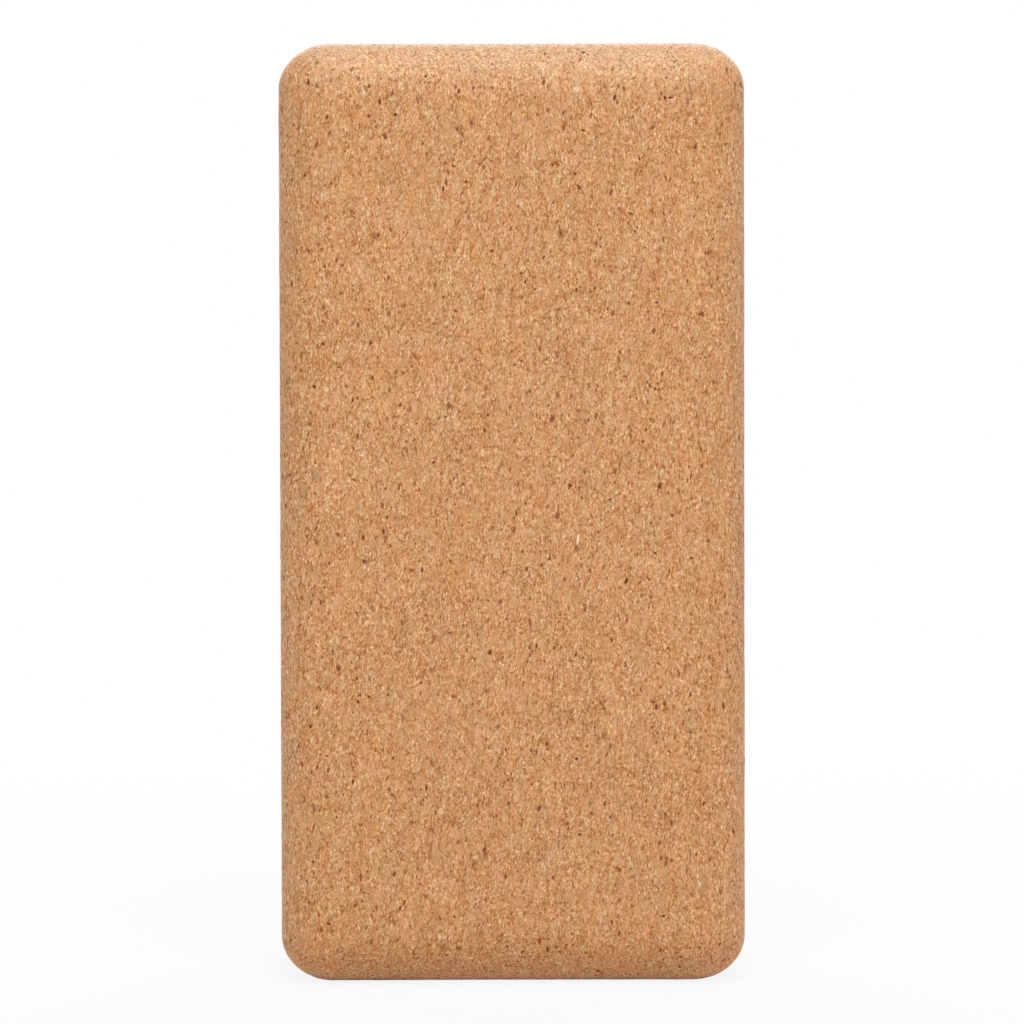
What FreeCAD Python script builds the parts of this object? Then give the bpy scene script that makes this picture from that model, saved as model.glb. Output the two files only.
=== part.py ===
# A cork yoga block: a brick of bonded cork granulate, with every edge rounded over, that stands on its short end.
# The coarse granules that show in its faces are pieces of their own, each sanded flush in its own pocket.
# Millimetres. +Z runs up the block's length, X across its width, Y through its depth with the front at -Y,
# and the origin is at the middle of the end that it stands on.
import FreeCAD, Part
import os
import Sketcher

doc = FreeCAD.newDocument("YogaBlock")

# Driving dimensions
SIZES = (
    ("block_height", "228.6", "length of the brick, upright"),
    ("block_width", "113.4", "width of the broad face"),
    ("block_depth", "76.2", "from the front face to the back face"),
    ("edge_radius", "12.7", "round-over on all twelve edges"),
    ("bark_thickness", "1.1", "dark bark granule, across"),
    ("bark_height", "2.2", "dark bark granule, along"),
    ("bark_depth", "1.5", "dark bark granule, into the block"),
    ("lenticel_thickness", "1.3", "red-brown granule, across"),
    ("lenticel_height", "2.3", "red-brown granule, along"),
    ("lenticel_depth", "1.6", "red-brown granule, into the block"),
    ("pale_thickness", "1.6", "pale granule, across"),
    ("pale_height", "2.2", "pale granule, along"),
    ("pale_depth", "1.6", "pale granule, into the block"),
    ("sliver_thickness", "0.7", "wood sliver, across"),
    ("sliver_height", "3.0", "wood sliver, along"),
    ("sliver_depth", "1.2", "wood sliver, into the block"),
    ("granule_spacing", "26", "between coarse granules, on the faces other than the front"),
)
sheet = doc.addObject("Spreadsheet::Sheet", "Sizes")
for row, (alias, value, meaning) in enumerate(SIZES, start=1):
    sheet.set(f"A{row}", meaning)
    sheet.set(f"B{row}", value)
    sheet.setAlias(f"B{row}", alias)
doc.recompute()

# Corners of the brick's end and of the two outlines that granules break to, as shares of the size across and
# of the size along, from the middle
BRICK_SHARES = ((0.50, 0.50), (-0.50, 0.50), (-0.50, -0.50), (0.50, -0.50))
CRUSHED_SHARES = ((0.08, 0.50), (-0.40, 0.26), (-0.50, -0.22), (-0.10, -0.50), (0.44, -0.28), (0.50, 0.20))
SPLIT_SHARES = ((0.20, 0.50), (-0.35, 0.42), (-0.50, -0.10), (-0.15, -0.50), (0.40, -0.40), (0.50, 0.12))

# A granule stands out of the face by this share of its depth until it is sanded flush
PROUD_SHARE = 0.2

# Each kind of granule: the name of its sub-part and the outline that it breaks to
KINDS = {
    "bark": ("bark_granules", CRUSHED_SHARES),
    "lenticel": ("lenticel_granules", CRUSHED_SHARES),
    "pale": ("pale_granules", CRUSHED_SHARES),
    "sliver": ("wood_slivers", SPLIT_SHARES),
}

# Granules of the front face: share of the width from the left, share of the height from the base,
# share of the kind's size, and lean in degrees
FRONT_SHARES = {
    "bark": (
        (0.529, 0.745, 0.65, 10), (0.714, 0.712, 0.85, 4), (0.801, 0.693, 0.90, 2), (0.355, 0.843, 0.70, -8),
        (0.643, 0.844, 0.80, -38), (0.366, 0.615, 1.00, -14), (0.678, 0.604, 0.90, 4), (0.813, 0.530, 1.00, 14),
        (0.742, 0.430, 0.90, 25), (0.579, 0.454, 0.65, 40), (0.452, 0.355, 0.85, 14), (0.710, 0.368, 0.75, -12),
        (0.805, 0.297, 0.85, 8), (0.316, 0.212, 0.75, -6), (0.247, 0.121, 0.85, 12), (0.725, 0.125, 0.95, -38),
        (0.484, 0.118, 0.75, -6), (0.263, 0.616, 0.75, 20),
    ),
    "lenticel": (
        (0.919, 0.776, 0.90, 25), (0.648, 0.783, 0.90, -6), (0.232, 0.898, 0.85, -20), (0.452, 0.896, 0.80, 12),
        (0.585, 0.601, 1.00, 30), (0.224, 0.510, 0.85, -15), (0.596, 0.499, 1.10, 10), (0.129, 0.339, 1.00, -15),
        (0.555, 0.190, 0.90, 18), (0.239, 0.712, 0.80, 9),
    ),
    "pale": (
        (0.084, 0.542, 1.40, 4), (0.506, 0.417, 0.90, -12), (0.736, 0.272, 0.65, 15), (0.723, 0.154, 0.60, 6),
        (0.768, 0.143, 0.70, 10), (0.695, 0.079, 0.85, -5), (0.676, 0.773, 0.70, 12), (0.760, 0.750, 0.85, -8),
        (0.346, 0.187, 1.05, -14),
    ),
    "sliver": (
        (0.639, 0.474, 1.00, 10), (0.224, 0.316, 0.50, 20), (0.859, 0.324, 0.55, -52), (0.751, 0.286, 0.65, -8),
    ),
}

# The other five faces hold the same kinds, in turn, at even steps across and along the flat of the face
ACROSS_STEP_SHARE = 0.7549
ALONG_STEP_SHARE = 0.5698
SPREAD_GRADE_SHARES = (0.80, 1.15, 1.00, 0.90, 1.25)
SPREAD_LEANS = (-18, 6, 22, -8, 14, -3, 10)
MIDDLE_SHARE = 0.5

# The two sizes of the block that bound each of those faces
FACE_SIZES = {
    "back": ("block_width", "block_height"),
    "left": ("block_depth", "block_height"),
    "right": ("block_depth", "block_height"),
    "base": ("block_width", "block_depth"),
    "top": ("block_width", "block_depth"),
}

# Turns that lead a granule's depth from +Y, into the front, to the inward side of each face
ACROSS_AXIS = FreeCAD.Vector(1, 0, 0)
INWARD_AXIS = FreeCAD.Vector(0, 1, 0)
UP_AXIS = FreeCAD.Vector(0, 0, 1)
FACE_TURNS = {
    "front": FreeCAD.Rotation(),
    "back": FreeCAD.Rotation(UP_AXIS, 180),
    "left": FreeCAD.Rotation(UP_AXIS, -90),
    "right": FreeCAD.Rotation(UP_AXIS, 90),
    "base": FreeCAD.Rotation(ACROSS_AXIS, 90),
    "top": FreeCAD.Rotation(ACROSS_AXIS, -90),
}


# A closed sketch on one of the body's own origin planes, with its corners at shares of two sizes of the sheet
def outline_sketch(body, plane_role, across_size, along_size, corner_shares):
    plane = next(item for item in body.Origin.OriginFeatures if item.Role == plane_role)
    sketch = body.newObject("Sketcher::SketchObject", f"{body.Label}_outline")
    sketch.AttachmentSupport = (plane, [""])
    sketch.MapMode = "FlatFace"
    across = sheet.get(across_size)
    along = sheet.get(along_size)
    corners = [FreeCAD.Vector(across * x_share, along * y_share, 0) for x_share, y_share in corner_shares]
    for start, end in zip(corners, corners[1:] + corners[:1]):
        sketch.addGeometry(Part.LineSegment(start, end), False)
    for side, (corner, shares) in enumerate(zip(corners, corner_shares)):
        following = (side + 1) % len(corners)
        sketch.addConstraint(Sketcher.Constraint("Coincident", side, 2, following, 1))
        x_number = sketch.addConstraint(Sketcher.Constraint("DistanceX", -1, 1, side, 1, corner.x))
        y_number = sketch.addConstraint(Sketcher.Constraint("DistanceY", -1, 1, side, 1, corner.y))
        sketch.setExpression(f"Constraints[{x_number}]", f"Sizes.{across_size} * {shares[0]}")
        sketch.setExpression(f"Constraints[{y_number}]", f"Sizes.{along_size} * {shares[1]}")
    return sketch


# The brick: the rectangle of its standing end, padded to the block's length, with all its edges rounded over
def rounded_block():
    body = doc.addObject("PartDesign::Body", "block")
    pad = body.newObject("PartDesign::Pad", "sawn_brick")
    pad.Profile = outline_sketch(body, "XY_Plane", "block_width", "block_depth", BRICK_SHARES)
    pad.setExpression("Length", "Sizes.block_height")
    doc.recompute()
    round_over = body.newObject("PartDesign::Fillet", "round_over")
    round_over.Base = (pad, [f"Edge{number}" for number in range(1, len(pad.Shape.Edges) + 1)])
    round_over.setExpression("Radius", "Sizes.edge_radius")
    body.Tip = round_over
    return body


# One granule of a kind, at the origin: its broken outline upright, its outer end at Y = 0 and its depth along +Y
def crushed_granule(kind, corner_shares):
    body = doc.addObject("PartDesign::Body", f"{kind}_granule")
    pad = body.newObject("PartDesign::Pad", f"{kind}_flake")
    pad.Profile = outline_sketch(body, "XZ_Plane", f"{kind}_thickness", f"{kind}_height", corner_shares)
    pad.setExpression("Length", f"Sizes.{kind}_depth")
    pad.Reversed = True
    return body


# A granule in its place: its kind, scaled by its grade, leaning in the face, standing proud of it
def placed_granule(kind, master, face, grade, lean, place):
    grain = doc.addObject("App::Link", f"{kind}_{face}")
    grain.LinkedObject = master
    grain.Scale = grade
    turn = FACE_TURNS[face].multiply(FreeCAD.Rotation(INWARD_AXIS, lean))
    grain.Placement = FreeCAD.Placement(FreeCAD.Vector(0, 0, 0), turn)
    for axis, formula in zip("xyz", place):
        grain.setExpression(f"Placement.Base.{axis}", formula)
    return grain


def front_place(kind, grade, across_share, up_share):
    return (
        f"Sizes.block_width * ({across_share} - {MIDDLE_SHARE})",
        f"-Sizes.block_depth / 2 - Sizes.{kind}_depth * {grade} * {PROUD_SHARE}",
        f"Sizes.block_height * {up_share}",
    )


# A place that the sequence gives: inside the flat of its face, clear of the round-over by the granule's height
def spread_place(kind, face, grade, across_share, along_share):
    def within_flat(size, share):
        flat = f"(Sizes.{size} - 2 * Sizes.edge_radius - Sizes.{kind}_height * {grade})"
        return f"{flat} * ({share:.4f} - {MIDDLE_SHARE})"

    proud = f"Sizes.{kind}_depth * {grade} * {PROUD_SHARE}"
    across_x = within_flat("block_width", across_share)
    across_y = within_flat("block_depth", across_share)
    along_y = within_flat("block_depth", along_share)
    along_z = f"Sizes.block_height / 2 + {within_flat('block_height', along_share)}"
    places = {
        "back": (across_x, f"Sizes.block_depth / 2 + {proud}", along_z),
        "left": (f"-Sizes.block_width / 2 - {proud}", across_y, along_z),
        "right": (f"Sizes.block_width / 2 + {proud}", across_y, along_z),
        "base": (across_x, along_y, f"-{proud}"),
        "top": (across_x, along_y, f"Sizes.block_height + {proud}"),
    }
    return places[face]


# How many granules the flat of a face holds at the spacing
def spread_count(across_size, along_size):
    flat_across = sheet.get(across_size) - 2 * sheet.get("edge_radius")
    flat_along = sheet.get(along_size) - 2 * sheet.get("edge_radius")
    return round(flat_across * flat_along / sheet.get("granule_spacing") ** 2)


# All granules of the block, by kind
masters = {kind: crushed_granule(kind, corner_shares) for kind, (_, corner_shares) in KINDS.items()}
grains = {kind: [] for kind in KINDS}
for kind, rows in FRONT_SHARES.items():
    for across_share, up_share, grade, lean in rows:
        place = front_place(kind, grade, across_share, up_share)
        grains[kind].append(placed_granule(kind, masters[kind], "front", grade, lean, place))
step = 0
for face, (across_size, along_size) in FACE_SIZES.items():
    for _ in range(spread_count(across_size, along_size)):
        step += 1
        kind = tuple(KINDS)[step % len(KINDS)]
        grade = SPREAD_GRADE_SHARES[step % len(SPREAD_GRADE_SHARES)]
        lean = SPREAD_LEANS[step % len(SPREAD_LEANS)]
        across_share = step * ACROSS_STEP_SHARE % 1
        along_share = step * ALONG_STEP_SHARE % 1
        place = spread_place(kind, face, grade, across_share, along_share)
        grains[kind].append(placed_granule(kind, masters[kind], face, grade, lean, place))

# The bonded granulate: the block, less a pocket for each granule
block = rounded_block()
pockets = doc.addObject("Part::Compound", "granule_pockets")
pockets.Links = [grain for kind in KINDS for grain in grains[kind]]
cork_body = doc.addObject("Part::Cut", "cork_body")
cork_body.Base = block
cork_body.Tool = pockets
sub_parts = [cork_body]

# The granules of each kind, sanded flush with the block
for kind, (node_name, _) in KINDS.items():
    proud_granules = doc.addObject("Part::Compound", f"{kind}_proud")
    proud_granules.Links = grains[kind]
    flush = doc.addObject("Part::Common", node_name)
    flush.Base = proud_granules
    flush.Tool = block
    sub_parts.append(flush)
doc.recompute()

# Every object has to stand before anything is written
for item in doc.Objects:
    if "Invalid" in item.State or "Error" in item.State:
        raise RuntimeError(f"{item.Label} did not recompute: {item.State}")
for sub_part in sub_parts:
    if sub_part.Shape.isNull() or not sub_part.Shape.isValid():
        raise RuntimeError(f"{sub_part.Label} has no valid shape")

os.makedirs("parts", exist_ok=True)
for sub_part in sub_parts:
    sub_part.Shape.exportStep(f"parts/{sub_part.Label}.step")
    print(f"{sub_part.Label}: {len(sub_part.Shape.Solids)} solids, {sub_part.Shape.Volume:.1f} mm3")
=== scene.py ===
import math
import random

import bmesh
import bpy
from mathutils import Euler, Matrix, Vector, noise
from mathutils.geometry import delaunay_2d_cdt


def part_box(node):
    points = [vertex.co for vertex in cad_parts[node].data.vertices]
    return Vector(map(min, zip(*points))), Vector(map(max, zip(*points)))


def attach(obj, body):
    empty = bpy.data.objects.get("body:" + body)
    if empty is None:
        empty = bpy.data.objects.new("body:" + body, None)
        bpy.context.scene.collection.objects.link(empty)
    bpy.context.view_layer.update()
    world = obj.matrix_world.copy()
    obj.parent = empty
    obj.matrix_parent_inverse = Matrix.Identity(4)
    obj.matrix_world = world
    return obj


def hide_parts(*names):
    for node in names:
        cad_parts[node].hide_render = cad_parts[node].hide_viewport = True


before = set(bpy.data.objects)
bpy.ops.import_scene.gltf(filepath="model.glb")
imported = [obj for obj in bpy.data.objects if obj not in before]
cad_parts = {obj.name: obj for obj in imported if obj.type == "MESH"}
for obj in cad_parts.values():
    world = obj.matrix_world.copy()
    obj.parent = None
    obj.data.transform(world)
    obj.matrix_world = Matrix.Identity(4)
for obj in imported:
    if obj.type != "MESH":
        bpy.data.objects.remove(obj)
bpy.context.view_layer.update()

# Cork body
# The block itself: crushed cork bonded under pressure, sawn to a brick and sanded, all edges rounded over.
# Its skin is one closed mesh in millimetres from the block's middle, with the sander's waves and the open pores
# between granules as real relief, and shade painted into the pores.
MM = 0.001
body_low, body_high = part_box("cork_body")
body_middle = (body_low + body_high) / 2
body_half = (body_high - body_low) / (2 * MM)
body_random = random.Random(17)

# The round-over of the edges as their shading shows it, and of the broad faces' corners as their outline does
rounding = 14.5
corner_across, corner_along = 12.7, 11.2

# Spacing of the skin's net, how far its points stray as a share of that, and how near two points become one
skin_spacing = 1.65
skin_jitter = 0.24
weld_reach = 0.01 * MM

# The skin's relief: length and height of the sander's waves and of swelling granules, and the sanding loss
wave_length, wave_height = 16.0, 0.05
swell_length, swell_height = 2.3, 0.045
swell_shift = Vector((31, 7, 5))
sanding_loss = 0.03

# Each face: the axis across it, the axis along it, the axis out of it and the sign of its outward side
FACES = {
    "front": (0, 2, 1, -1),
    "back": (0, 2, 1, 1),
    "left": (1, 2, 0, -1),
    "right": (1, 2, 0, 1),
    "base": (0, 1, 2, -1),
    "top": (0, 1, 2, 1),
}

# The photograph's outline of the front face, in its pixels, and the dark pores and cracks that stand out there:
# pixel across, pixel down, width and height in pixels, and lean in degrees
PHOTO_LEFT, PHOTO_RIGHT = 279.0, 743.7
PHOTO_TOP, PHOTO_BOTTOM = 43.5, 979.5
FRONT_PORES = (
    (315, 87, 2.6, 4.0, 0), (319, 88, 3.0, 7.0, -20), (284, 112, 4.0, 9.0, -8), (300, 131, 3.6, 4.0, 25),
    (371, 119, 3.5, 5.0, 20), (397, 118, 4.6, 4.8, 30), (378, 130, 3.2, 5.0, 5), (362, 128, 2.2, 9.0, 0),
    (419, 104, 2.8, 8.0, -18), (453, 112, 2.8, 8.0, 13), (474, 92, 3.6, 5.5, 10), (296, 172, 3.8, 5.0, 20),
    (416, 155, 2.8, 4.6, -45), (446, 165, 2.2, 9.0, 12), (449, 175, 3.0, 4.6, -25), (562, 117, 3.2, 4.4, 0),
    (564, 127, 2.4, 9.0, -3), (590, 118, 2.8, 7.0, -5), (582, 134, 5.2, 3.2, 0), (668, 102, 6.8, 2.5, -5),
    (719, 127, 3.0, 4.6, -25), (717, 138, 3.0, 5.0, 10), (723, 147, 4.0, 4.2, 0), (637, 162, 3.4, 5.4, -5),
    (518, 156, 2.5, 10.0, 16), (574, 176, 3.6, 5.0, -35), (664, 82, 3.0, 4.4, 15), (288, 222, 4.0, 3.5, -40),
    (304, 248, 3.0, 3.2, 0), (324, 250, 3.0, 4.2, 0), (311, 252, 2.6, 8.0, -25), (327, 267, 3.8, 4.6, 20),
    (339, 261, 3.4, 7.0, 0), (345, 266, 4.2, 3.0, -20), (355, 286, 3.0, 4.0, 20), (390, 278, 3.4, 6.0, -10),
    (392, 231, 3.0, 5.5, -12), (421, 230, 3.0, 3.2, 0), (469, 219, 2.8, 8.0, 0), (432, 249, 2.5, 5.0, 0),
    (471, 252, 2.5, 7.0, 0), (492, 252, 3.8, 4.2, -20), (503, 225, 2.6, 5.0, 20), (512, 290, 2.8, 9.0, 15),
    (456, 311, 5.2, 3.4, 30), (384, 307, 2.6, 4.6, 30), (325, 343, 4.0, 4.6, 0), (535, 231, 2.8, 6.0, 8),
    (573, 241, 3.0, 4.5, -25), (599, 248, 2.8, 4.8, -15), (602, 267, 2.8, 5.6, 2), (593, 262, 3.2, 4.2, 20),
    (521, 274, 3.6, 3.6, 0), (593, 289, 3.4, 4.8, 0), (651, 274, 2.4, 10.0, 12), (654, 303, 4.6, 3.0, -10),
    (629, 216, 3.2, 5.2, -20), (697, 315, 3.8, 5.0, 0), (731, 335, 2.8, 7.0, 15), (547, 218, 3.0, 3.5, 0),
    (341, 366, 4.2, 3.0, 0), (348, 385, 3.2, 5.4, -25), (316, 385, 5.4, 3.6, 0), (374, 377, 3.6, 7.0, 0),
    (288, 381, 4.0, 4.6, 0), (311, 422, 2.8, 4.8, 20), (310, 432, 2.6, 8.0, 0), (446, 415, 3.6, 3.6, 20),
    (439, 416, 3.4, 3.0, 0), (489, 436, 2.8, 4.8, 0), (407, 439, 3.0, 4.0, -20), (434, 460, 4.8, 3.0, -30),
    (291, 473, 4.4, 4.6, -20), (356, 477, 5.0, 2.8, 20), (355, 446, 3.0, 5.4, -20), (480, 364, 3.4, 4.0, -30),
    (514, 364, 3.8, 3.2, 0), (447, 497, 2.6, 5.4, 20), (470, 496, 2.8, 6.0, 0), (570, 395, 2.8, 5.0, 10),
    (576, 409, 3.0, 3.6, 0), (594, 389, 2.8, 4.8, 0), (547, 404, 2.8, 4.8, 20), (529, 390, 3.4, 5.0, -20),
    (567, 430, 2.5, 7.0, 5), (570, 437, 3.6, 3.0, 0), (645, 401, 2.8, 4.8, 0), (659, 374, 3.2, 5.6, 0),
    (697, 358, 2.8, 3.2, 0), (702, 357, 2.8, 3.6, 0), (640, 440, 4.0, 3.6, 0), (732, 465, 3.0, 5.8, 20),
    (569, 483, 4.8, 3.8, -20), (553, 481, 3.0, 3.6, 0), (608, 497, 4.6, 3.6, 0), (629, 458, 2.5, 6.4, 0),
    (637, 459, 2.5, 7.0, -15), (661, 423, 2.4, 6.4, 30), (388, 514, 3.6, 4.6, 30), (339, 531, 3.8, 5.0, -30),
    (386, 537, 2.6, 8.0, 25), (391, 542, 3.2, 5.0, -30), (365, 558, 4.2, 5.6, -30), (450, 558, 2.8, 5.6, -20),
    (405, 565, 2.6, 7.0, 18), (413, 566, 3.2, 4.0, 30), (502, 569, 2.5, 8.0, 10), (316, 582, 3.0, 5.0, -20),
    (314, 591, 3.8, 3.2, 30), (326, 583, 3.6, 4.2, -20), (357, 608, 3.8, 3.2, 0), (342, 609, 2.4, 5.4, 0),
    (402, 606, 2.4, 8.0, -10), (402, 619, 2.6, 6.6, 4), (426, 611, 3.5, 3.5, 0), (450, 628, 3.5, 3.5, 0),
    (467, 631, 3.2, 5.5, -20), (433, 634, 2.8, 5.0, 5), (334, 646, 3.4, 4.4, -30), (360, 652, 2.5, 6.4, 15),
    (487, 596, 4.2, 3.2, 20), (477, 594, 2.6, 6.0, 22), (513, 527, 3.2, 9.0, 10), (574, 544, 2.8, 5.0, 15),
    (579, 562, 2.8, 7.0, 10), (669, 513, 4.2, 4.6, 0), (652, 550, 4.8, 3.0, 20), (705, 538, 3.4, 4.2, 0),
    (688, 555, 4.6, 3.0, 10), (567, 604, 2.5, 5.6, 15), (558, 611, 3.0, 3.2, 0), (615, 612, 3.4, 3.6, 0),
    (529, 620, 2.6, 6.4, 10), (561, 624, 2.5, 7.0, 10), (559, 643, 2.6, 5.6, 0), (581, 653, 3.2, 3.8, 0),
    (589, 656, 2.4, 7.0, -5), (730, 619, 2.6, 5.4, 40), (732, 659, 2.5, 6.4, 20), (381, 680, 2.6, 4.5, 20),
    (452, 691, 2.8, 8.0, -10), (402, 711, 2.8, 7.4, -30), (287, 714, 4.0, 3.6, 0), (318, 702, 3.2, 3.4, -30),
    (489, 723, 2.5, 6.4, 10), (299, 741, 3.0, 6.4, 20), (352, 758, 2.5, 7.4, 5), (387, 772, 2.6, 6.6, 25),
    (351, 785, 2.4, 8.0, -25), (392, 788, 3.8, 3.8, 0), (314, 801, 2.8, 10.0, -4), (412, 815, 3.6, 3.0, 0),
    (435, 806, 3.0, 5.4, 10), (507, 797, 3.6, 5.2, 20), (598, 698, 2.8, 5.2, 20), (650, 697, 5.8, 2.3, 0),
    (657, 720, 3.0, 3.4, -30), (724, 668, 2.8, 7.4, 0), (539, 723, 2.6, 5.4, 30), (545, 738, 3.8, 4.4, 0),
    (607, 741, 2.6, 8.0, 8), (603, 750, 2.6, 6.0, 15), (574, 753, 4.6, 3.8, 0), (530, 778, 2.8, 4.8, 20),
    (562, 779, 2.8, 5.4, -15), (589, 807, 3.4, 4.8, -20), (608, 811, 2.5, 6.4, 10), (640, 766, 2.8, 6.4, 0),
    (378, 834, 2.8, 6.6, 10), (313, 855, 3.2, 5.4, -25), (401, 846, 3.0, 4.6, -30), (417, 862, 3.0, 4.8, -20),
    (456, 873, 2.8, 5.6, 0), (469, 851, 2.4, 7.4, 20), (484, 842, 2.3, 16.0, -2), (425, 889, 3.4, 4.4, -10),
    (484, 892, 3.4, 5.0, 6), (326, 901, 2.6, 6.6, 5), (355, 898, 3.6, 5.2, 0), (373, 903, 3.0, 3.8, 0),
    (321, 922, 3.2, 7.0, 6), (321, 953, 4.6, 4.2, 0), (387, 961, 2.8, 5.4, 10), (453, 909, 4.0, 3.8, 30),
    (505, 939, 4.0, 4.6, 30), (329, 916, 4.0, 3.8, 20), (577, 828, 4.2, 4.2, 0), (556, 835, 2.6, 8.0, 20),
    (612, 878, 2.8, 5.6, 0), (683, 864, 2.8, 5.4, 14), (692, 848, 2.8, 4.6, 0), (668, 854, 3.6, 4.2, 0),
    (669, 873, 2.4, 6.0, -50), (659, 878, 2.5, 6.6, -50), (673, 880, 2.6, 5.0, 4), (660, 909, 5.8, 2.8, -20),
    (676, 923, 2.5, 5.6, 0), (564, 938, 3.8, 3.6, 0), (568, 947, 2.6, 6.0, 0), (583, 946, 4.0, 2.6, -20),
    (553, 959, 4.6, 3.2, -20), (696, 941, 3.2, 4.4, 0), (677, 950, 4.6, 3.2, -25), (660, 953, 3.8, 3.2, 20),
    (711, 954, 2.5, 6.4, 15), (477, 941, 3.0, 3.2, 0), (526, 847, 3.2, 5.0, 0), (617, 360, 2.6, 7.0, 0),
)

# How far the photograph's softness widens a mark, in pixels, the least width of one, and how dark its pore is
photo_softness = 0.9
least_mark = 1.5
# A pore's darkness sets its depth and how much shade is painted into it
front_pore_darkness = 0.92

# Pores per square millimetre elsewhere, how wide, how slim and how dark they are, and how they lean, in degrees
pore_density = 0.016
pore_width_low, pore_width_high = 0.34, 0.85
pore_slimness_low, pore_slimness_high = 1.2, 3.0
# Darkness sets a pore's depth and the shade painted into it
pore_darkness_low, pore_darkness_high = 0.3, 0.85
pore_lean, pore_lean_spread = 6.0, 15.0

# A pore's depth as a share of its width, and its rings: how far out, as a share of its reach, and their points.
# The points stray a little, and the shade painted into a pore ends before the outermost ring.
pore_depth_share = 0.75
PORE_RINGS = ((0.5, 5), (1.0, 8), (1.55, 9))
pore_jitter = 0.22
pore_shade_reach = 1.3

# What stays off a pore, as a share of its reach: the net, the next pore's middle and the next pore's rings
pore_clearance = 1.9
pore_spacing = 2.2
pore_ring_gap = 1.2

# How much an edge may widen a pore, how far one stays off a granule's middle, and the size of look-up cells
pore_stretch_limit = 1.6
granule_clearance = 2.4
pore_cell = 4


# How deep below a face the nearest of some places lies
def sunk_below(face, places):
    _, _, outward, sign = FACES[face]
    return body_half[outward] - max(sign * place[outward] for place in places)


# The coarse granules of one node: the face that each lies in and the corners of its outline there, in order
def granule_outlines(node):
    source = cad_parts[node]
    mesh = bmesh.new()
    mesh.from_mesh(source.data)
    bmesh.ops.remove_doubles(mesh, verts=mesh.verts, dist=weld_reach)
    mesh.verts.index_update()
    found = set()
    outlines = []
    for first in mesh.verts:
        if first.index in found:
            continue
        found.add(first.index)
        island = [first]
        for vert in island:
            for edge in vert.link_edges:
                other = edge.other_vert(vert)
                if other.index not in found:
                    found.add(other.index)
                    island.append(other)
        places = [(source.matrix_world @ vert.co - body_middle) / MM for vert in island]
        face = min(FACES, key=lambda name: sunk_below(name, places))
        across, along, _, _ = FACES[face]
        spots = sorted({(round(place[across], 2), round(place[along], 2)) for place in places})
        corners = [Vector(spot) for spot in spots]
        middle = sum(corners, Vector((0, 0))) / len(corners)
        corners.sort(key=lambda corner: math.atan2(corner.y - middle.y, corner.x - middle.x))
        outlines.append((face, corners, middle))
    mesh.free()
    return sorted(outlines, key=lambda row: (row[0], round(row[2].x, 1), round(row[2].y, 1)))


GRANULE_NODES = ("bark_granules", "lenticel_granules", "pale_granules", "wood_slivers")
granules = {node: granule_outlines(node) for node in GRANULE_NODES}


# How far out a place beyond the core lies, as the broad faces' outline with its rounder corners has it
def outline_reach(x, z):
    flat_x, flat_z = rounding - corner_across, rounding - corner_along
    if x * rounding <= z * flat_x or z * rounding <= x * flat_z:
        return max(x, z)
    square = (x / corner_across) ** 2 + (z / corner_along) ** 2
    mixed = x * flat_x / corner_across ** 2 + z * flat_z / corner_along ** 2
    rest = (flat_x / corner_across) ** 2 + (flat_z / corner_along) ** 2 - 1
    return rounding * square / (mixed + math.sqrt(mixed ** 2 - square * rest))


# A place on the sharp brick moved onto the rounded one, with the direction out of it
def rounded_place(place):
    core = [half - rounding for half in body_half]
    inner = Vector([max(-c, min(c, value)) for value, c in zip(place, core)])
    out = Vector(place) - inner
    for axis in range(3):
        share = min(1.0, abs(out[axis]) / rounding)
        out[axis] = math.copysign(rounding * math.tan(share * math.pi / 4), out[axis])
    reach = math.hypot(outline_reach(abs(out.x), abs(out.z)), out.y)
    return inner + out * (rounding / reach), out.normalized()


# A pore of the common kind somewhere on a face: its spot, half its width and height, its lean and its darkness
def random_pore(face, source):
    across, along, _, _ = FACES[face]
    width = source.uniform(pore_width_low, pore_width_high)
    height = width * source.uniform(pore_slimness_low, pore_slimness_high)
    a = source.uniform(-1, 1) * (body_half[across] - height)
    b = source.uniform(-1, 1) * (body_half[along] - height)
    lean = math.radians(source.gauss(pore_lean, pore_lean_spread))
    darkness = source.uniform(pore_darkness_low, pore_darkness_high)
    return a, b, width / 2, height / 2, lean, darkness


# The width of the photograph's pixel on the front face
photo_pixel = 2 * body_half.z / (PHOTO_BOTTOM - PHOTO_TOP)


# A pixel of the photograph as a spot on the front face
def photo_spot(pixel_x, pixel_y):
    a = (pixel_x - (PHOTO_LEFT + PHOTO_RIGHT) / 2) * photo_pixel
    b = ((PHOTO_TOP + PHOTO_BOTTOM) / 2 - pixel_y) * photo_pixel
    return Vector((a, b))


# How far round an edge a spot is that is seen so far from the middle of the front face, up to a quarter turn
def edge_turn(seen, half):
    return math.asin(max(0.0, min(1.0, (abs(seen) - half + rounding) / rounding)))


# A dark mark of the photograph: the face that it lies in, and its pore there before the edges are rounded
def photo_pore(pixel_x, pixel_y, pixel_width, pixel_height, lean):
    a, b = photo_spot(pixel_x, pixel_y)
    half_width = max(least_mark, pixel_width - photo_softness) * photo_pixel / 2
    half_height = max(least_mark, pixel_height - photo_softness) * photo_pixel / 2
    face = "front"
    eighth = math.pi / 4
    turn = edge_turn(a, body_half.x)
    if turn > 0:
        half_width *= min(1 / math.cos(turn), pore_stretch_limit) / eighth
    if turn > eighth:
        face, lean = ("left", -lean) if a < 0 else ("right", lean)
        a = -(body_half.y - rounding + rounding * (2 - turn / eighth))
    elif turn > 0:
        a = math.copysign(body_half.x - rounding + rounding * turn / eighth, a)
    turn = min(edge_turn(b, body_half.z), eighth)
    if turn > 0:
        half_height /= math.cos(turn) * eighth
        b = math.copysign(body_half.z - rounding + rounding * turn / eighth, b)
    return face, (a, b, half_width, half_height, math.radians(lean), front_pore_darkness)


front_marks = [photo_pore(*row) for row in FRONT_PORES]


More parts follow.
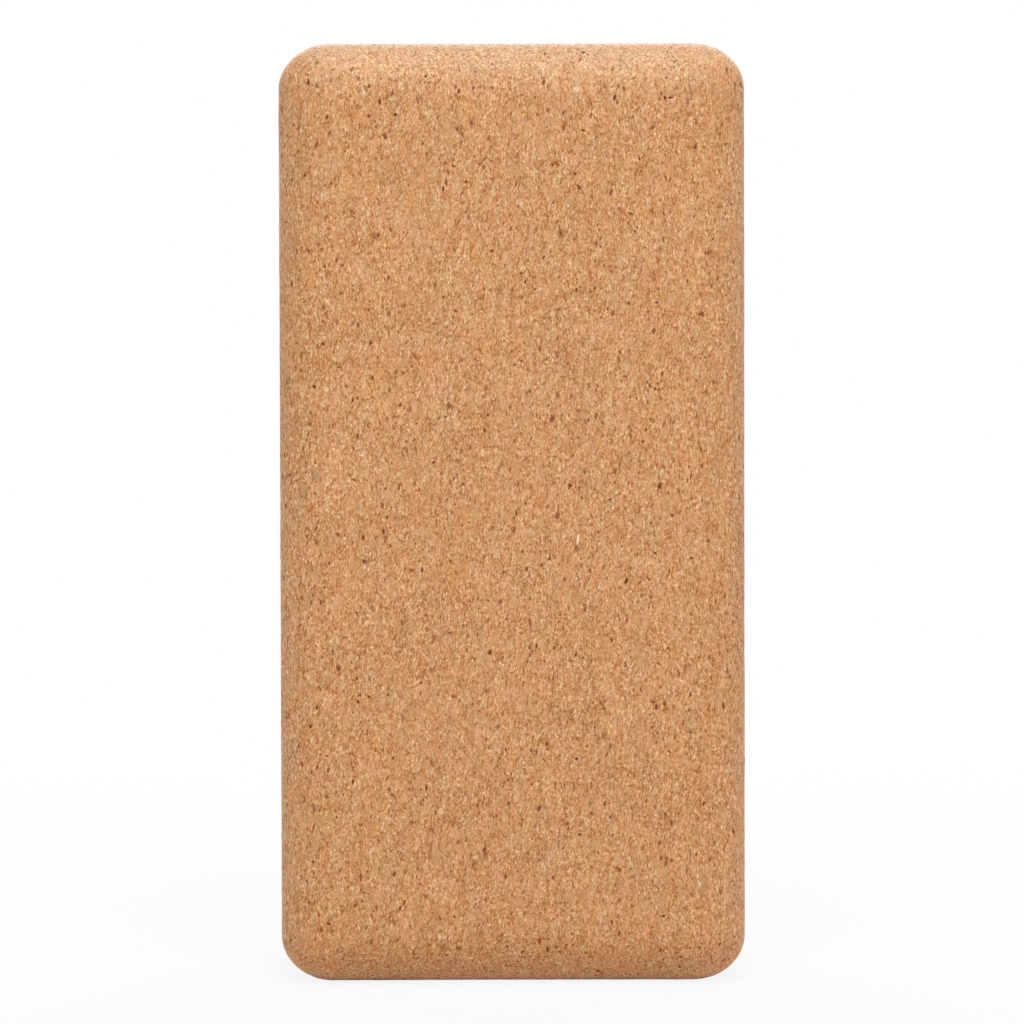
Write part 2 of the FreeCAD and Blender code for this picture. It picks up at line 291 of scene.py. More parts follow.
# How far out of a pore's middle a place lies, as a share of the pore's own reach
def pore_share(pore, a, b):
    da, db = a - pore[0], b - pore[1]
    across = da * math.cos(pore[4]) - db * math.sin(pore[4])
    along = da * math.sin(pore[4]) + db * math.cos(pore[4])
    return math.hypot(across / pore[2], along / pore[3])


# The cell of the look-up table that a spot is in, and the pores in that cell and those round it
def cell_of(a, b):
    return int(a // pore_cell), int(b // pore_cell)


def pores_near(cells, a, b):
    column, row = cell_of(a, b)
    return [pore for i in (-1, 0, 1) for j in (-1, 0, 1) for pore in cells.get((column + i, row + j), ())]


# The pores of one face, none running into another or under a coarse granule, and their look-up table
def face_pores(face):
    across, along, _, _ = FACES[face]
    wanted = [pore for owner, pore in front_marks if owner == face]
    taken = [middle for rows in granules.values() for owner, _, middle in rows if owner == face]
    count = int(4 * body_half[across] * body_half[along] * pore_density) - len(wanted)
    for _ in range(count):
        pore = random_pore(face, body_random)
        if all((Vector(pore[:2]) - middle).length > granule_clearance for middle in taken):
            wanted.append(pore)
    kept = []
    cells = {}
    for pore in wanted:
        spot = pore[:2]
        near = pores_near(cells, *spot)
        if all(min(pore_share(other, *spot), pore_share(pore, *other[:2])) > pore_spacing for other in near):
            cells.setdefault(cell_of(*spot), []).append(pore)
            kept.append(pore)
    return kept, cells


# Points of one face of the skin, with depth and painted shade: the border, an uneven net and rings in each pore
def face_points(face):
    across, along, _, _ = FACES[face]
    half_a, half_b = body_half[across], body_half[along]
    count_a = round(2 * half_a / skin_spacing)
    count_b = round(2 * half_b / skin_spacing)
    border = [(-half_a + 2 * half_a * i / count_a, -half_b) for i in range(count_a)]
    border += [(half_a, -half_b + 2 * half_b * i / count_b) for i in range(count_b)]
    border += [(half_a - 2 * half_a * i / count_a, half_b) for i in range(count_a)]
    border += [(-half_a, half_b - 2 * half_b * i / count_b) for i in range(count_b)]
    points = [(a, b, 0.0, 0.0) for a, b in border]
    pores, cells = face_pores(face)
    net_margin, ring_margin = skin_spacing / 2, skin_spacing / 4
    row_step = skin_spacing * math.sqrt(3) / 2
    rows = int(2 * half_b / row_step)
    for row in range(1, rows):
        for column in range(count_a):
            a = -half_a + (column + 0.25 + 0.5 * (row % 2)) * 2 * half_a / count_a
            b = -half_b + row * 2 * half_b / rows
            a += body_random.uniform(-1, 1) * skin_jitter * skin_spacing
            b += body_random.uniform(-1, 1) * skin_jitter * skin_spacing
            if min(half_a - abs(a), half_b - abs(b)) < net_margin:
                continue
            if all(pore_share(pore, a, b) > pore_clearance for pore in pores_near(cells, a, b)):
                points.append((a, b, 0.0, 0.0))
    for pore in pores:
        a, b, half_width, half_height, lean, darkness = pore
        depth = pore_depth_share * 2 * half_width * darkness
        points.append((a, b, depth, darkness))
        others = [other for other in pores_near(cells, a, b) if other is not pore]
        for ring, (radius, count) in enumerate(PORE_RINGS):
            fall = max(0.0, 1.0 - radius ** 2)
            # Shade painted into the pore, fading to nothing before the outermost ring
            painted_pore_shade = max(0.0, min(1.0, pore_shade_reach - radius))
            for i in range(count):
                turn = 2 * math.pi * (i + 0.5 * ring) / count
                wobble = radius * body_random.uniform(1 - pore_jitter, 1 + pore_jitter)
                across_part = half_width * wobble * math.cos(turn)
                along_part = half_height * wobble * math.sin(turn)
                ring_a = a + across_part * math.cos(lean) + along_part * math.sin(lean)
                ring_b = b - across_part * math.sin(lean) + along_part * math.cos(lean)
                if any(pore_share(other, ring_a, ring_b) < pore_ring_gap for other in others):
                    continue
                if min(half_a - abs(ring_a), half_b - abs(ring_b)) < ring_margin:
                    continue
                points.append((ring_a, ring_b, depth * fall, darkness * painted_pore_shade))
    return points, len(border)


# Height of the sanded skin over the true surface: broad waves of the sander, and granules that stand or sink
def skin_relief(place):
    waves = noise.noise(place / wave_length)
    swells = noise.noise(place / swell_length + swell_shift)
    return wave_height * waves + swell_height * swells - sanding_loss


# The skin: each face's points joined to triangles on the flat, and then laid over the rounded brick
def cork_skin():
    # Where each face lies on the flat map that finishes are baked through, in millimetres
    sheet_size = 2 * (2 * body_half.x + 2 * body_half.y)
    sheet_places = {
        "front": (0, 0), "back": (2 * body_half.x, 0),
        "left": (4 * body_half.x, 0), "right": (4 * body_half.x + 2 * body_half.y, 0),
        "base": (0, 2 * body_half.z), "top": (2 * body_half.x, 2 * body_half.z),
    }
    mesh = bmesh.new()
    # Each point carries how much shade is painted into a pore there
    pore_shade_layer = mesh.verts.layers.float.new("pore")
    map_layer = mesh.loops.layers.uv.new("OFBake")
    for face, (across, along, outward, sign) in FACES.items():
        turned_over = sign * (1 if outward != 1 else -1) < 0
        points, border_count = face_points(face)
        flat = [Vector((a, b)) for a, b, _, _ in points]
        loop = list(range(border_count))
        inside_only, flat_weld = 1, 1e-6
        placed, _, triangles, origins, _, _ = delaunay_2d_cdt(flat, [], [loop], inside_only, flat_weld)
        made = []
        for spot, origin in zip(placed, origins):
            depth = max(points[i][2] for i in origin)
            darkness = max(points[i][3] for i in origin)
            sharp = [0.0, 0.0, 0.0]
            sharp[across], sharp[along] = spot
            sharp[outward] = sign * body_half[outward]
            place, out = rounded_place(sharp)
            place = place + out * (skin_relief(place) - depth)
            vert = mesh.verts.new(body_middle + place * MM)
            vert[pore_shade_layer] = darkness
            made.append(vert)
        left, bottom = sheet_places[face]
        for triangle in triangles:
            corners = triangle[::-1] if turned_over else triangle
            skin_face = mesh.faces.new([made[i] for i in corners])
            skin_face.smooth = True
            for corner, i in zip(skin_face.loops, corners):
                u = (left + placed[i].x + body_half[across]) / sheet_size
                v = (bottom + placed[i].y + body_half[along]) / sheet_size
                corner[map_layer].uv = (u, v)
    bmesh.ops.remove_doubles(mesh, verts=mesh.verts, dist=weld_reach)
    bmesh.ops.recalc_face_normals(mesh, faces=mesh.faces)
    data = bpy.data.meshes.new("cork_body_skin")
    mesh.to_mesh(data)
    mesh.free()
    return data


cork_body = bpy.data.objects.new("cork_body_skin", cork_skin())
bpy.context.scene.collection.objects.link(cork_body)


# One node of a material or group; a socket given as an input is linked and anything else is set
def add_node(tree, kind, inputs=None, **settings):
    made = tree.nodes.new(kind)
    for name, value in settings.items():
        setattr(made, name, value)
    for name, value in (inputs or {}).items():
        if isinstance(value, bpy.types.NodeSocket):
            tree.links.new(value, made.inputs[name])
        else:
            made.inputs[name].default_value = value
    return made


def arithmetic(tree, operation, first, second=0.0, third=0.0):
    return add_node(tree, "ShaderNodeMath", {0: first, 1: second, 2: third}, operation=operation).outputs[0]


def vector_arithmetic(tree, operation, first, second):
    key = "Scale" if operation == "SCALE" else 1
    return add_node(tree, "ShaderNodeVectorMath", {0: first, key: second}, operation=operation).outputs[0]


def blend(tree, share, first, second, **settings):
    inputs = {0: share, 6: first, 7: second}
    return add_node(tree, "ShaderNodeMix", inputs, data_type="RGBA", **settings).outputs[2]


# A colour as it shows on a screen, from 0 to 255, in the linear values that shaders take
def colour(red, green, blue):
    channels = [value / 255 for value in (red, green, blue)]
    return tuple(c / 12.92 if c <= 0.04045 else ((c + 0.055) / 1.055) ** 2.4 for c in channels) + (1.0,)


# A shade that runs through the given colours, each a place from 0 to 1 and a colour
def colour_scale(tree, value, stops):
    made = add_node(tree, "ShaderNodeValToRGB", {"Fac": value})
    elements = made.color_ramp.elements
    while len(elements) < len(stops):
        elements.new(0.5)
    for element, (position, shade) in zip(elements, stops):
        element.position = position
        element.color = shade
    return made.outputs["Color"]


def new_material(name):
    material = bpy.data.materials.new(name)
    material.use_nodes = True
    material.node_tree.nodes.clear()
    return material, material.node_tree


# A node group with its named inputs and outputs
def new_group(name, inputs, outputs):
    group = bpy.data.node_groups.new(name, "ShaderNodeTree")
    for socket, kind in inputs:
        group.interface.new_socket(socket, in_out="INPUT", socket_type=kind)
    for socket, kind in outputs:
        group.interface.new_socket(socket, in_out="OUTPUT", socket_type=kind)
    return group, add_node(group, "NodeGroupInput").outputs, add_node(group, "NodeGroupOutput").inputs


VECTOR, NUMBER, SHADE = "NodeSocketVector", "NodeSocketFloat", "NodeSocketColor"


# Places in units of a granule's size, bent so that no granule keeps straight sides
def bent_places(group, given, scale, bend):
    sized = vector_arithmetic(group, "DIVIDE", given["Place"], given["Size"])
    shift = add_node(group, "ShaderNodeTexNoise", {"Vector": sized, "Scale": scale, "Detail": 1.0})
    centred = vector_arithmetic(group, "SUBTRACT", shift.outputs["Color"], (0.5, 0.5, 0.5))
    return vector_arithmetic(group, "ADD", sized, vector_arithmetic(group, "SCALE", centred, bend))


# Granules pressed together: which granule a place is in, as a random colour, and how far off the next one is
def pressed_granules():
    inputs = (("Place", VECTOR), ("Size", VECTOR), ("Bend", NUMBER))
    group, given, result = new_group("pressed_granules", inputs, (("Chance", SHADE), ("Gap", NUMBER)))
    moved = bent_places(group, given, scale=1.1, bend=given["Bend"])
    cells = add_node(group, "ShaderNodeTexVoronoi", {"Vector": moved, "Scale": 1.0}, feature="F1")
    gaps = add_node(group, "ShaderNodeTexVoronoi", {"Vector": moved, "Scale": 1.0}, feature="DISTANCE_TO_EDGE")
    group.links.new(cells.outputs["Color"], result["Chance"])
    group.links.new(gaps.outputs["Distance"], result["Gap"])
    return group


# Two kinds of fleck scattered among the granules: soft-edged masks, stronger in some flecks than in others
def scattered_flecks():
    inputs = (("Place", VECTOR), ("Size", VECTOR), ("First Share", NUMBER), ("Second Share", NUMBER))
    outputs = (("First", NUMBER), ("Second", NUMBER), ("Chance", NUMBER))
    group, given, result = new_group("scattered_flecks", inputs, outputs)
    moved = bent_places(group, given, scale=2.2, bend=0.7)
    cells = add_node(group, "ShaderNodeTexVoronoi", {"Vector": moved, "Scale": 1.0}, feature="F1")
    split = add_node(group, "ShaderNodeSeparateColor", {"Color": cells.outputs["Color"]}).outputs
    least_reach, reach_spread = 0.36, 0.22
    least_strength, strength_spread = 0.4, 0.6
    reach = arithmetic(group, "MULTIPLY_ADD", split[1], reach_spread, least_reach)
    beyond = arithmetic(group, "SUBTRACT", cells.outputs["Distance"], reach)
    soft_edge = {"Value": beyond, "From Min": 0.06, "From Max": -0.12}
    inside = add_node(group, "ShaderNodeMapRange", soft_edge).outputs[0]
    strength = arithmetic(group, "MULTIPLY_ADD", split[2], strength_spread, least_strength)
    strength = arithmetic(group, "MULTIPLY", inside, strength)
    first = arithmetic(group, "LESS_THAN", split[0], given["First Share"])
    second = arithmetic(group, "LESS_THAN", arithmetic(group, "SUBTRACT", 1.0, split[0]), given["Second Share"])
    group.links.new(arithmetic(group, "MULTIPLY", strength, first), result["First"])
    group.links.new(arithmetic(group, "MULTIPLY", strength, second), result["Second"])
    group.links.new(split[1], result["Chance"])
    return group


# Fine fibrous mottling of cork: short crumbs and longer fibres, both drawn out along the block
def cork_fibre():
    group, given, result = new_group("cork_fibre", (("Place", VECTOR), ("Scale", NUMBER)), (("Tone", NUMBER),))
    crumb_squeeze, fibre_squeeze = (1.35, 1.0, 1.0), (1.5, 1.0, 0.5)
    parts = []
    for squeeze in (crumb_squeeze, fibre_squeeze):
        squeezed = vector_arithmetic(group, "MULTIPLY", given["Place"], squeeze)
        mottle = {"Vector": squeezed, "Scale": given["Scale"], "Detail": 1.0, "Roughness": 0.6}
        parts.append(add_node(group, "ShaderNodeTexNoise", mottle).outputs["Fac"])
    both = arithmetic(group, "ADD", *parts)
    group.links.new(arithmetic(group, "MULTIPLY", both, 0.5), result["Tone"])
    return group


granules_group = pressed_granules()
flecks_group = scattered_flecks()
fibre_group = cork_fibre()

# Sanded cork: its fibres per millimetre, the lean of its grain, how it shines, and its fine sanding marks
fibre_scale = 1.651
grain_lean = math.radians(-5)
cork_shine = 0.25
marks_strength = 0.5
marks_height = 0.12 * MM


# A node group in a material, with its inputs
def add_group(tree, group, inputs, name=""):
    return add_node(tree, "ShaderNodeGroup", inputs, node_tree=group, name=name).outputs


# A value that a mesh carries at its points
def painted(tree, layer):
    return add_node(tree, "ShaderNodeAttribute", attribute_name=layer).outputs["Fac"]


# Places turned about the axis that runs through the broad faces
def turned_places(tree, places, angle):
    inputs = {"Vector": places, "Angle": angle}
    return add_node(tree, "ShaderNodeVectorRotate", inputs, rotation_type="Y_AXIS").outputs[0]


# Places on a piece in millimetres, leaning with the grain
def grain_places(tree):
    spot = add_node(tree, "ShaderNodeTexCoord").outputs["Object"]
    return turned_places(tree, vector_arithmetic(tree, "SCALE", spot, 1 / MM), grain_lean)


# Cork as one surface, with the marks of the sander on it
def cork_surface(tree, shade, rough, marks):
    relief = {"Strength": marks_strength, "Distance": marks_height, "Height": marks}
    bump = add_node(tree, "ShaderNodeBump", relief)
    shader = add_node(tree, "ShaderNodeBsdfPrincipled", {
        "Base Color": shade, "Roughness": rough, "Specular IOR Level": cork_shine,
        "Normal": bump.outputs["Normal"],
    })
    add_node(tree, "ShaderNodeOutputMaterial", {"Surface": shader.outputs["BSDF"]})


# Bonded cork: patches, granules and crumbs pressed together, with paler, redder and darker flecks among them
def cork_finish():
    material, tree = new_material("bonded_cork")
    spot = grain_places(tree)

    def add_granules(name, where, size, bend):
        made = add_group(tree, granules_group, {"Place": where, "Size": size, "Bend": bend}, name)
        split = add_node(tree, "ShaderNodeSeparateColor", {"Color": made["Chance"]}).outputs
        return split[0], split[1], split[2], made["Gap"]

    def add_flecks(name, where, size, first, second):
        inputs = {"Place": where, "Size": size, "First Share": first, "Second Share": second}
        return add_group(tree, flecks_group, inputs, name)

    def laid_over(name, mask, amount, base):
        inputs = {0: mask, 1: amount, 2: base}
        return add_node(tree, "ShaderNodeMath", inputs, operation="MULTIPLY_ADD", name=name).outputs[0]

    def around_half(name, value, amount, base):
        return laid_over(name, arithmetic(tree, "SUBTRACT", value, 0.5), amount, base)

    def between(name, value, start, end):
        inputs = {"Value": value, "From Min": start, "From Max": end}
        return add_node(tree, "ShaderNodeMapRange", inputs, name=name).outputs[0]

    def soft_noise(scale, detail):
        inputs = {"Vector": spot, "Scale": scale, "Detail": detail}
        return add_node(tree, "ShaderNodeTexNoise", inputs).outputs["Fac"]

    patch = add_granules("patch", spot, size=(2.8, 4.0, 5.2), bend=1.4)
    grain = add_granules("grain", spot, size=(1.0, 1.4, 2.8), bend=0.9)
    lean = around_half("lean", patch[0], amount=0.6, base=0.0)
    turned = turned_places(tree, spot, lean)
    crumb = add_granules("crumb", turned, size=(0.413, 0.55, 0.726), bend=0.8)
    fibre = add_group(tree, fibre_group, {"Place": turned, "Scale": fibre_scale}, "fibre")["Tone"]
    broad = soft_noise(scale=0.03, detail=3.0)
    seam = soft_noise(scale=0.75, detail=1.0)
    smooth = add_flecks("smooth", spot, size=(1.7, 2.2, 3.0), first=0.15, second=0.0)
    coarse = add_flecks("coarse", turned, size=(0.80, 1.2, 1.8), first=0.029, second=0.053)
    small = add_flecks("small", turned, size=(0.56, 0.80, 1.05), first=0.03, second=0.046)

    # Tone from 0, dark bark, to 1, palest cork, calmer inside the smooth granules
    strength = around_half("strength", patch[1], amount=0.5, base=1.0)
    calm = laid_over("calm", smooth["First"], amount=-0.45, base=1.0)
    fine = around_half("crumb tone", crumb[0], amount=0.115, base=0.0)
    fine = around_half("fibre tone", fibre, amount=1.75, base=fine)
    fine = arithmetic(tree, "MULTIPLY", arithmetic(tree, "MULTIPLY", fine, strength), calm)
    tone = around_half("grain tone", grain[1], amount=0.12, base=0.60)
    tone = around_half("patch tone", patch[2], amount=0.026, base=tone)
    tone = around_half("broad tone", broad, amount=0.08, base=tone)
    tone = arithmetic(tree, "ADD", tone, fine)

    # Painted shade in the gaps along some of the granules' sides, and painted highlights on the edges of others
    edge = between("edge", grain[3], start=0.078, end=0.03)
    open_gap = between("open", seam, start=0.46, end=0.56)
    lit_edge = between("lit", seam, start=0.44, end=0.36)
    painted_gap_shade = arithmetic(tree, "MULTIPLY", arithmetic(tree, "MULTIPLY", edge, open_gap), calm)
    painted_edge_highlight = arithmetic(tree, "MULTIPLY", edge, lit_edge)
    # The gaps get painted shade and the edges a painted highlight
    tone = laid_over("gap tone", painted_gap_shade, amount=-0.225, base=tone)
    tone = laid_over("rim tone", painted_edge_highlight, amount=0.05, base=tone)
    tan = colour_scale(tree, tone, (
        (0.0, colour(128, 50, 0)), (0.20, colour(166, 98, 42)), (0.38, colour(187, 124, 70)),
        (0.58, colour(206, 148, 97)), (0.78, colour(222, 175, 130)), (1.0, colour(242, 213, 180)),
    ))

    # Hue: some granules lean to red and some to grey, some to pink and some to olive
    warm = around_half("patch hue", patch[2], amount=0.473, base=0.5)
    warm = around_half("grain hue", grain[2], amount=0.70, base=warm)
    pink = around_half("crumb pink", crumb[1], amount=0.026, base=0.5)
    pink = around_half("grain pink", grain[0], amount=0.686, base=pink)
    grey, red = (0.99, 1.08, 1.11, 1.0), (1.13, 1.035, 0.965, 1.0)
    olive, mauve = (1.0, 1.05, 0.94, 1.0), (1.0, 0.95, 1.06, 1.0)
    warm_tint = blend(tree, warm, grey, red)
    pink_tint = blend(tree, pink, olive, mauve)
    mixed = blend(tree, 1.0, tan, warm_tint, blend_type="MULTIPLY")
    mixed = blend(tree, 1.0, mixed, pink_tint, blend_type="MULTIPLY")

    # Smooth granules, pale cork, lenticel cork, specks, bark and painted shade in the pores: where, how much,
    # and its colour
    smooth_shade = colour_scale(tree, smooth["Chance"], (
        (0.0, colour(194, 144, 88)), (0.30, colour(216, 165, 108)), (0.55, colour(216, 160, 120)),
        (1.0, colour(234, 190, 147)),
    ))
    # How much shade is painted into the pores
    pore = painted(tree, "pore")
    layers = (
        (smooth["First"], 0.40, smooth_shade),
        (coarse["Second"], 0.65, colour(240, 206, 164)),
        (small["Second"], 0.75, colour(166, 74, 34)),
        (small["First"], 0.95, colour(122, 40, 0)),
        (coarse["First"], 1.0, colour(118, 40, 0)),
        # The pores' dark brown is painted shade in the pits
        (pore, 1.0, colour(110, 34, 0)),
    )
    for mask, amount, shade in layers:
        mixed = blend(tree, arithmetic(tree, "MULTIPLY", mask, amount), mixed, shade)

    # Sanded cork has a faint sheen, and its dark bark and open pores hardly any
    dull = 0.95
    rough = add_node(tree, "ShaderNodeMapRange", {
        "Value": tone, "From Min": 0.25, "From Max": 0.50, "To Min": 0.80, "To Max": 0.53,
    }).outputs[0]
    for mask in (small["First"], coarse["First"], pore):
        rough = arithmetic(tree, "MAXIMUM", rough, arithmetic(tree, "MULTIPLY", mask, dull))
    cork_surface(tree, mixed, rough, soft_noise(scale=1.8, detail=0.0))
    return material


cork_body.data.materials.append(cork_finish())
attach(cork_body, "root")
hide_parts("cork_body")

# Bark granules
# Flakes of the tree's hard outer bark that the mill lets through, brown and brittle, bonded in with the cork.
# The sander leaves each one flush, a hair proud of the softer cork round it, with a broken outline.
granule_random = random.Random(29)

# Points along each side of a granule's outline, how far they stray, and its crown's height and its foot's depth
outline_splits = 3
outline_jitter = 0.14
granule_crown = 0.10
granule_depth = 0.70

# Rings of a granule's top: share of its outline, height over the skin in millimetres, and how far it is rim
GRANULE_RINGS = ((1.0, -0.15, 1.0), (0.86, 0.04, 0.25), (0.5, 0.09, 0.0))

# What a granule's points carry: its chance shade, how far it is rim there, and whether it is the marked one
GRANULE_LAYERS = ("chance", "rim", "mark")

# Tone of a common granule, how far chance moves it, how fine its fibres are, and how worn its rim is
granule_tone = 0.25
chance_spread = 0.5
granule_fibre_scale = 1.4 * fibre_scale
rim_wear = 0.7


# The rounded skin as seen straight onto one face: the place under a spot and the direction out of it
def skin_under(face, spot):
    across, along, outward, sign = FACES[face]
    place = Vector((0, 0, 0))
    out = Vector((0, 0, 0))
    for axis, value in zip((across, along), spot):
        beyond = max(0.0, abs(value) - (body_half[axis] - rounding))
        out[axis] = math.copysign(beyond, value)
        place[axis] = value
    rise = math.sqrt(rounding ** 2 - out.length_squared)
    out[outward] = sign * rise
    place[outward] = sign * (body_half[outward] - rounding + rise)
    return place, out / rounding


# The granules of one node as low stones with broken outlines; the one nearest the marked spot is marked
def granule_stones(name, node, marked=None):
    mesh = bmesh.new()
    layers = {layer: mesh.verts.layers.float.new(layer) for layer in GRANULE_LAYERS}
    front = [middle for face, _, middle in granules[node] if face == "front"]
    special = min(front, key=lambda middle: (middle - marked).length) if marked else None

    def add_vert(face, spot, height, values):
        place, out = skin_under(face, spot)
        vert = mesh.verts.new(body_middle + (place + out * (skin_relief(place) + height)) * MM)
        for layer, value in zip(layers.values(), values):
            vert[layer] = value
        return vert

    for face, corners, middle in granules[node]:
        chance = granule_random.random()
        mark = float(middle is special)
        border = []
        for corner, following in zip(corners, corners[1:] + corners[:1]):
            for split in range(outline_splits):
                reach = granule_random.uniform(1 - outline_jitter, 1 + outline_jitter)
                border.append((corner.lerp(following, split / outline_splits) - middle) * reach)
        rings = []
        for share, height, rim in GRANULE_RINGS:
            values = (chance, rim, mark)
            rings.append([add_vert(face, middle + spot * share, height, values) for spot in border])
        crown = add_vert(face, middle, granule_crown, (chance, 0.0, mark))
        foot = add_vert(face, middle, -granule_depth, (chance, 1.0, mark))
        for i in range(len(border)):
            j = (i + 1) % len(border)
            for outer, inner in zip(rings, rings[1:]):
                mesh.faces.new((outer[i], outer[j], inner[j], inner[i]))
            mesh.faces.new((rings[-1][i], rings[-1][j], crown))
            mesh.faces.new((rings[0][j], rings[0][i], foot))
    bmesh.ops.recalc_face_normals(mesh, faces=mesh.faces)
    for stone_face in mesh.faces:
        stone_face.smooth = True
    data = bpy.data.meshes.new(name)
    mesh.to_mesh(data)
    mesh.free()
    piece = bpy.data.objects.new(name, data)
    bpy.context.scene.collection.objects.link(piece)
    return piece


# Cork of one kind: its darkest and palest shade, its rim's, the marked one's heart, and how mottled it is
def granule_finish(name, dark, light, rim_shade, heart, mottle):
    material, tree = new_material(name)
    fibre = add_group(tree, fibre_group, {"Place": grain_places(tree), "Scale": granule_fibre_scale})["Tone"]
    chance, rim, mark = [painted(tree, layer) for layer in GRANULE_LAYERS]
    grain = arithmetic(tree, "MULTIPLY_ADD", fibre, mottle, granule_tone - mottle / 2)
    tone = arithmetic(tree, "MULTIPLY_ADD", chance, chance_spread, grain)
    shade = colour_scale(tree, tone, ((0.0, dark), (1.0, light)))
    inside = arithmetic(tree, "SUBTRACT", 1.0, rim)
    shade = blend(tree, arithmetic(tree, "MULTIPLY", mark, inside), shade, heart)
    worn = arithmetic(tree, "MULTIPLY", arithmetic(tree, "SUBTRACT", 1.0, mark), rim)
    shade = blend(tree, arithmetic(tree, "MULTIPLY", worn, rim_wear), shade, rim_shade)
    rough = add_node(tree, "ShaderNodeMapRange", {"Value": tone, "To Min": 0.57, "To Max": 0.50}).outputs[0]
    cork_surface(tree, shade, rough, fibre)
    return material


bark = granule_stones("bark_granule_stones", "bark_granules")
bark.data.materials.append(granule_finish(
    "outer_bark", dark=colour(92, 40, 6), light=colour(168, 104, 58), rim_shade=colour(176, 116, 68),
    heart=colour(150, 96, 56), mottle=2.0))
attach(bark, "root")
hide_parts("bark_granules")

# Lenticel granules
# Red-brown cork from round the tree's breathing pores, denser than the rest and crushed to stubby grains.
# One of them was cut through its pore, so it shows a dark ring round a pale mauve heart.
LENTICEL_RING_PIXEL = (580, 246)
lenticels = granule_stones("lenticel_granule_stones", "lenticel_granules", photo_spot(*LENTICEL_RING_PIXEL))
lenticels.data.materials.append(granule_finish(
    "lenticel_cork", dark=colour(112, 42, 12), light=colour(190, 118, 76), rim_shade=colour(186, 124, 76),
    heart=colour(207, 158, 126), mottle=2.0))
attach(lenticels, "root")
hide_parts("lenticel_granules")

# Pale granules
# Young clean cork, nearly free of fibre, which stays cream when the rest turns brown in the press.
# The largest, left of the middle, is a greyer scrap than its neighbours.
GREY_SCRAP_PIXEL = (318, 472)
pale = granule_stones("pale_granule_stones", "pale_granules", photo_spot(*GREY_SCRAP_PIXEL))
pale.data.materials.append(granule_finish(
    "pale_cork", dark=colour(206, 156, 106), light=colour(242, 202, 158), rim_shade=colour(206, 152, 102),
    heart=colour(190, 152, 110), mottle=1.4))
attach(pale, "root")
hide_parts("pale_granules")

# Wood slivers
# Slim splinters of pale woody fibre that came off the tree with the bark, lying along the grain.
# They take no binder, so they stay almost white among the cork.
slivers = granule_stones("wood_sliver_stones", "wood_slivers")
slivers.data.materials.append(granule_finish(
    "woody_fibre", dark=colour(226, 190, 154), light=colour(255, 234, 210), rim_shade=colour(240, 212, 184),
    heart=colour(236, 206, 176), mottle=1.2))
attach(slivers, "root")
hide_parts("wood_slivers")

# Studio
# A white floor under soft lamps: high in front, overhead, behind, and a faint one to either side.
# A bright card overhead shows only as the sheen on the block's upper edge.
floor_reach = 3.0
floor_grey = 0.85
floor_data = bpy.data.meshes.new("studio_floor")
floor_data.from_pydata(
    [(-floor_reach, -floor_reach, 0), (floor_reach, -floor_reach, 0), (floor_reach, floor_reach, 0),
     (-floor_reach, floor_reach, 0)], [], [(0, 1, 2, 3)])
floor = bpy.data.objects.new("studio_floor", floor_data)
bpy.context.scene.collection.objects.link(floor)


# Share of rays that see the set itself: from the camera, in reflections and through what is clear
def seen_rays(tree):
    path = add_node(tree, "ShaderNodeLightPath").outputs
    seen = arithmetic(tree, "MAXIMUM", path["Is Camera Ray"], path["Is Glossy Ray"])
    return arithmetic(tree, "MAXIMUM", seen, path["Is Transmission Ray"])


# White paper that shows almost as bright as the surround, and a little less so near the block, for its shadow
def floor_finish():
    material, tree = new_material("white_sweep")
    spot = add_node(tree, "ShaderNodeTexCoord").outputs["Object"]
    distance = add_node(tree, "ShaderNodeVectorMath", {0: spot}, operation="LENGTH").outputs["Value"]
    far = add_node(tree, "ShaderNodeMapRange", {
        "Value": distance, "From Min": 0.1, "From Max": 0.6, "To Min": 0.88, "To Max": 1.0,
    }).outputs[0]
    white = arithmetic(tree, "MULTIPLY", seen_rays(tree), far)
    matte = add_node(tree, "ShaderNodeBsdfDiffuse", {"Color": (floor_grey, floor_grey, floor_grey, 1.0)})
    glow = add_node(tree, "ShaderNodeEmission", {"Color": (1, 1, 1, 1), "Strength": 1.0})
    mix = add_node(tree, "ShaderNodeMixShader", {0: white, 1: matte.outputs[0], 2: glow.outputs[0]})
    add_node(tree, "ShaderNodeOutputMaterial", {"Surface": mix.outputs[0]})
    return material


floor_data.materials.append(floor_finish())

world = bpy.data.worlds.new("studio_surround")
bpy.context.scene.world = world
world.use_nodes = True
world.node_tree.nodes.clear()
ambient = 0.19
level = add_node(world.node_tree, "ShaderNodeMapRange", {
    "Value": seen_rays(world.node_tree), "To Min": ambient, "To Max": 1.0,
}).outputs[0]
background = add_node(world.node_tree, "ShaderNodeBackground", {"Color": (1, 1, 1, 1), "Strength": level})
add_node(world.node_tree, "ShaderNodeOutputWorld", {"Surface": background.outputs[0]})

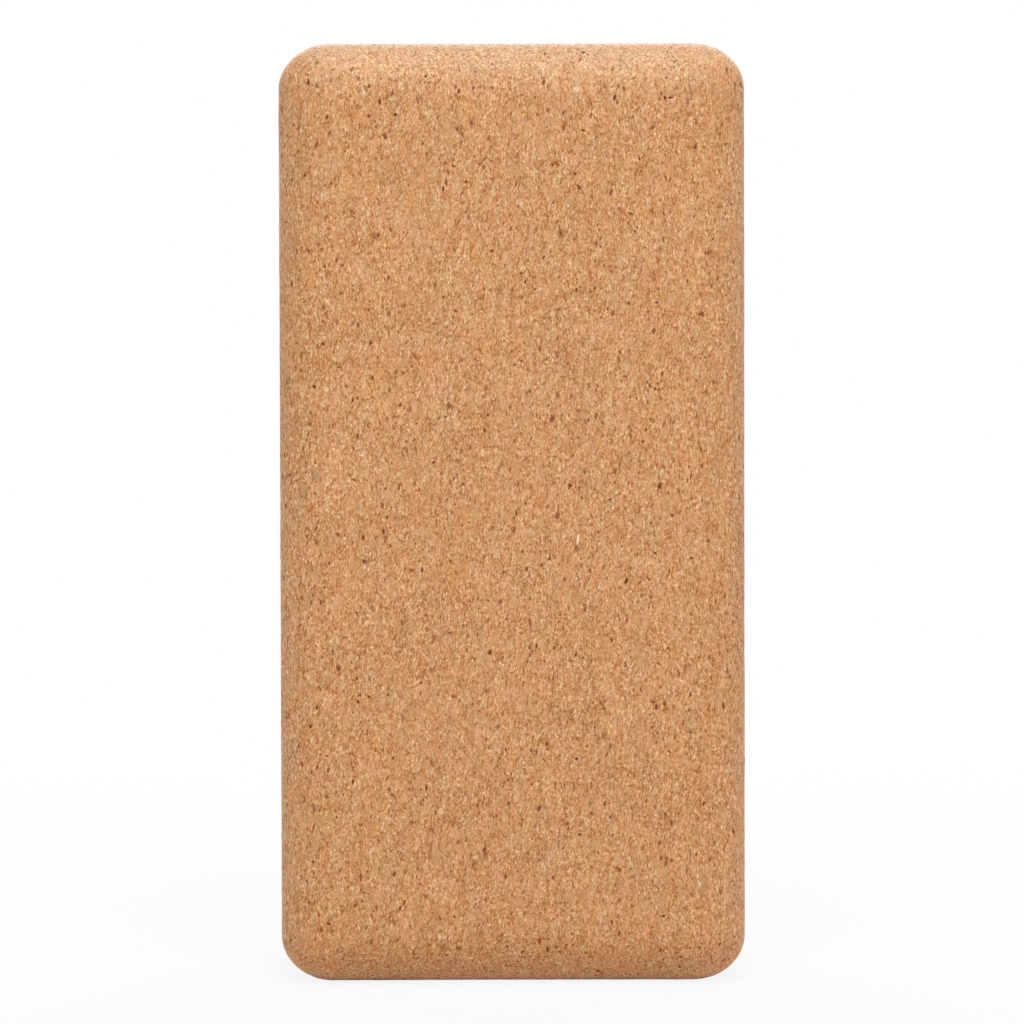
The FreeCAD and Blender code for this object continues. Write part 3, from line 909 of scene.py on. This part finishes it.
# Each lamp: its name, its place, width and height in metres, its power, and whether it lights matt surfaces.
# The one that doesn't is a cream card that only reflections show.
white_light, cream_light = (1.0, 1.0, 1.0), (0.98, 1.0, 0.85)
LAMPS = (
    ("front_softbox", (0.1, -1.5, 1.56), 1.0, 1.0, 18.3, True),
    ("top_softbox", (0.0, -0.7, 1.15), 1.2, 0.9, 5.2, True),
    ("back_softbox", (0.0, 1.0, 0.8), 1.6, 0.5, 9.9, True),
    ("left_softbox", (-1.4, 0.3, 0.3), 0.8, 0.6, 1.6, True),
    ("right_softbox", (1.4, 0.2, 0.3), 0.8, 0.6, 2.3, True),
    ("overhead_card", (0.0, -0.1, 1.15), 1.2, 1.15, 32.5, False),
)
for lamp_name, lamp_place, lamp_width, lamp_height, lamp_power, lights_matt in LAMPS:
    lamp_data = bpy.data.lights.new(lamp_name, "AREA")
    lamp_data.shape = "RECTANGLE"
    lamp_data.size = lamp_width
    lamp_data.size_y = lamp_height
    lamp_data.energy = lamp_power
    lamp_data.color = white_light if lights_matt else cream_light
    lamp_data.cycles.use_multiple_importance_sampling = lights_matt
    lamp = bpy.data.objects.new(lamp_name, lamp_data)
    lamp.location = lamp_place
    lamp.rotation_euler = (body_middle - lamp.location).to_track_quat("-Z", "Y").to_euler()
    lamp.visible_diffuse = lights_matt
    bpy.context.scene.collection.objects.link(lamp)

# Camera
# Straight at the broad face, a little from above, as the photograph was taken.
# Its lens gives the block the height in pixels that it has in the photograph.
photo_size = 1024
camera_distance = 1.0
camera_elevation = math.radians(1.58)
camera_roll = math.radians(-0.14)
aim_across, aim_up = -0.08 * MM, 0.23 * MM
sight_end = 50
photo_scale = (PHOTO_BOTTOM - PHOTO_TOP) / (2 * body_half.z * MM)
camera_data = bpy.data.cameras.new("photo_camera")
camera_data.sensor_width = 36.0
camera_data.lens = photo_scale * camera_distance * camera_data.sensor_width / photo_size
camera_data.clip_end = sight_end
camera = bpy.data.objects.new("photo_camera", camera_data)
silhouette = Vector((aim_across, body_low.y + rounding * MM, body_middle.z + aim_up))
toward = Vector((0, -math.cos(camera_elevation), math.sin(camera_elevation)))
camera.location = silhouette + toward * camera_distance
camera.rotation_euler = (Euler((math.pi / 2 - camera_elevation, 0, 0)).to_matrix()
                         @ Matrix.Rotation(camera_roll, 3, "Z")).to_euler()
bpy.context.scene.collection.objects.link(camera)
bpy.context.scene.camera = camera
bpy.context.scene.view_settings.view_transform = "Standard"
